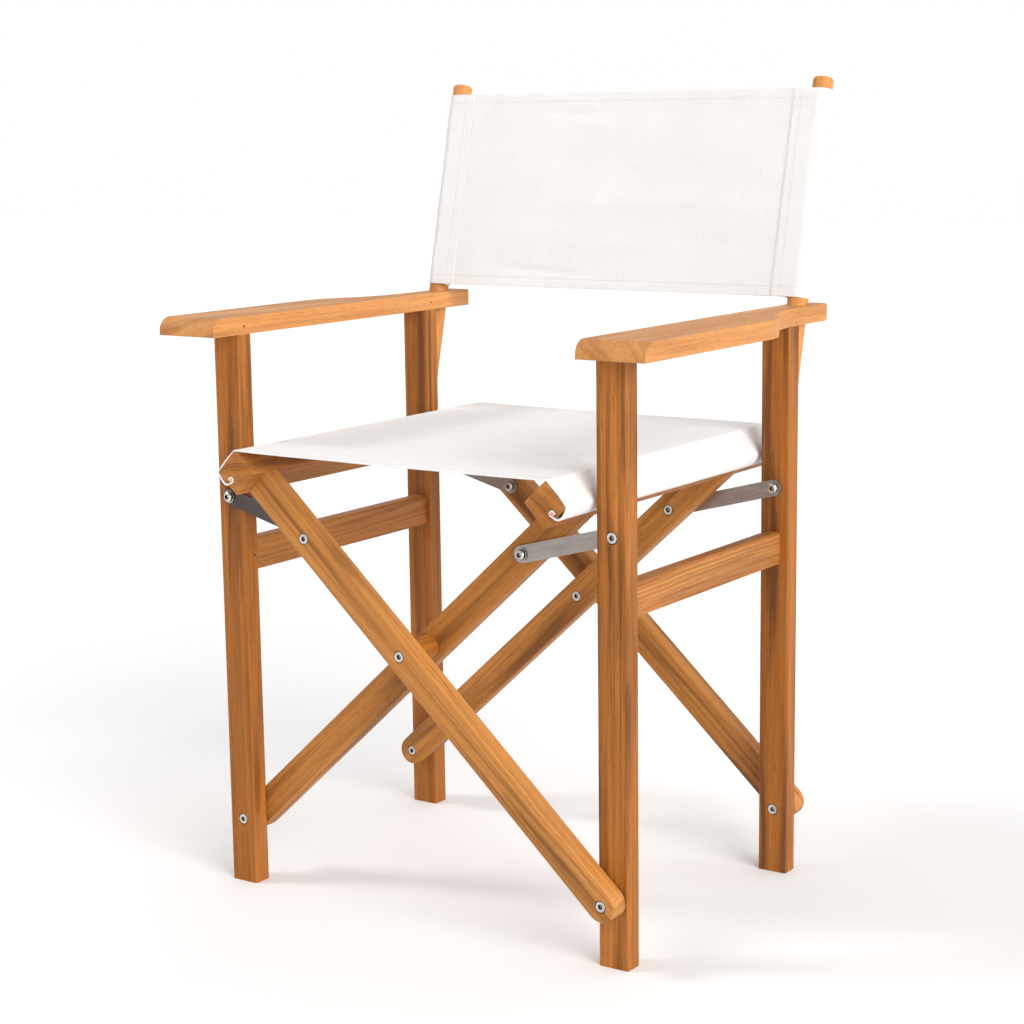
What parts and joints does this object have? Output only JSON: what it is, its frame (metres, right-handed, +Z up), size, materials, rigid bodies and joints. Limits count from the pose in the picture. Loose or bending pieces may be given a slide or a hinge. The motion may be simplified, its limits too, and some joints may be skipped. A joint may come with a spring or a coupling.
{
  "type": "folding director chair",
  "caption": "Folding wooden armchair with crossed legs, steel stay straps and a canvas seat and back",
  "frame": {"origin": "on the floor under the middle of the bounding box", "axes": "+Z up, -Y the way the sitter faces, +X to the right seen from the front"},
  "size_m": [0.605, 0.5018, 0.8768],
  "materials": {
    "teak": "oiled satin teak",
    "round_wood": "oiled satin, paler than the flat pieces",
    "strap_steel": "brushed",
    "fastener_steel": "bright",
    "canvas": "white plain-weave canvas",
    "welt_cord": "tan cord"
  },
  "bodies": {
    "left_side_frame": {"left_front_leg": "teak", "left_rear_leg": "teak", "left_armrest": "teak", "left_side_rail": "teak", "left_back_post": "round_wood", "left_foot_pivot_nuts": "fastener_steel", "left_foot_pivot_screws": "fastener_steel", "left_foot_pivot_washers": "fastener_steel", "left_leg_strap_nuts": "fastener_steel", "left_tenon_pins": "fastener_steel", "left_post_screw": "fastener_steel", "left_back_sleeve": "canvas", "back_canvas": "canvas"},
    "inner_frame": {"right_seat_rail": "teak", "inner_front_cross_leg": "teak", "inner_rear_cross_leg": "teak", "inner_frame_dowels": "round_wood", "inner_frame_strap_nuts": "fastener_steel", "right_welt_rod": "welt_cord", "crossing_nuts": "fastener_steel", "crossing_screws": "fastener_steel", "front_crossing_spacer": "round_wood", "rear_crossing_spacer": "round_wood", "seat_canvas": "canvas"},
    "outer_frame": {"left_seat_rail": "teak", "outer_front_cross_leg": "teak", "outer_rear_cross_leg": "teak", "outer_frame_dowels": "round_wood", "outer_frame_strap_nuts": "fastener_steel", "left_welt_rod": "welt_cord"},
    "right_side_frame": {"right_front_leg": "teak", "right_rear_leg": "teak", "right_armrest": "teak", "right_side_rail": "teak", "right_back_post": "round_wood", "right_foot_pivot_nuts": "fastener_steel", "right_foot_pivot_screws": "fastener_steel", "right_foot_pivot_washers": "fastener_steel", "right_leg_strap_nuts": "fastener_steel", "right_tenon_pins": "fastener_steel", "right_post_screw": "fastener_steel", "right_back_sleeve": "canvas"},
    "left_straps": {"left_front_strap": "strap_steel", "left_rear_strap": "strap_steel", "left_strap_screws": "fastener_steel", "left_strap_washers": "fastener_steel"},
    "right_straps": {"right_front_strap": "strap_steel", "right_rear_strap": "strap_steel", "right_strap_screws": "fastener_steel", "right_strap_washers": "fastener_steel"}
  },
  "joints": [
    {"name": "fold", "type": "hinge", "parent": "left_side_frame", "child": "inner_frame", "pos_m": [-0.2415, -0.02591, 0.072], "axis": [0, -1, 0], "range_deg": [0, 26.9], "deforming": ["seat_canvas", "back_canvas"]},
    {"name": "scissor", "type": "hinge", "parent": "inner_frame", "child": "outer_frame", "pos_m": [0, -0.02591, 0.29329], "axis": [0, -1, 0], "range_deg": [-59.05, 0]},
    {"name": "right_foot_pivots", "type": "hinge", "parent": "outer_frame", "child": "right_side_frame", "pos_m": [0.2415, -0.02591, 0.072], "axis": [0, -1, 0], "range_deg": [0, 26.95]},
    {"name": "left_strap_pivots", "type": "hinge", "parent": "left_side_frame", "child": "left_straps", "pos_m": [-0.2415, -0.02591, 0.4366], "axis": [0, -1, 0], "range_deg": [0, 69.7]},
    {"name": "right_strap_pivots", "type": "hinge", "parent": "right_side_frame", "child": "right_straps", "pos_m": [0.2415, -0.02591, 0.4366], "axis": [0, -1, 0], "range_deg": [-69.7, 0]}
  ],
  "couplings": [
    {"joint": "scissor", "follows": "fold", "ratio": -2.1933},
    {"joint": "right_foot_pivots", "follows": "fold", "ratio": 1},
    {"joint": "left_strap_pivots", "follows": "fold", "ratio": 2.5892},
    {"joint": "right_strap_pivots", "follows": "fold", "ratio": -2.5892}
  ]
}
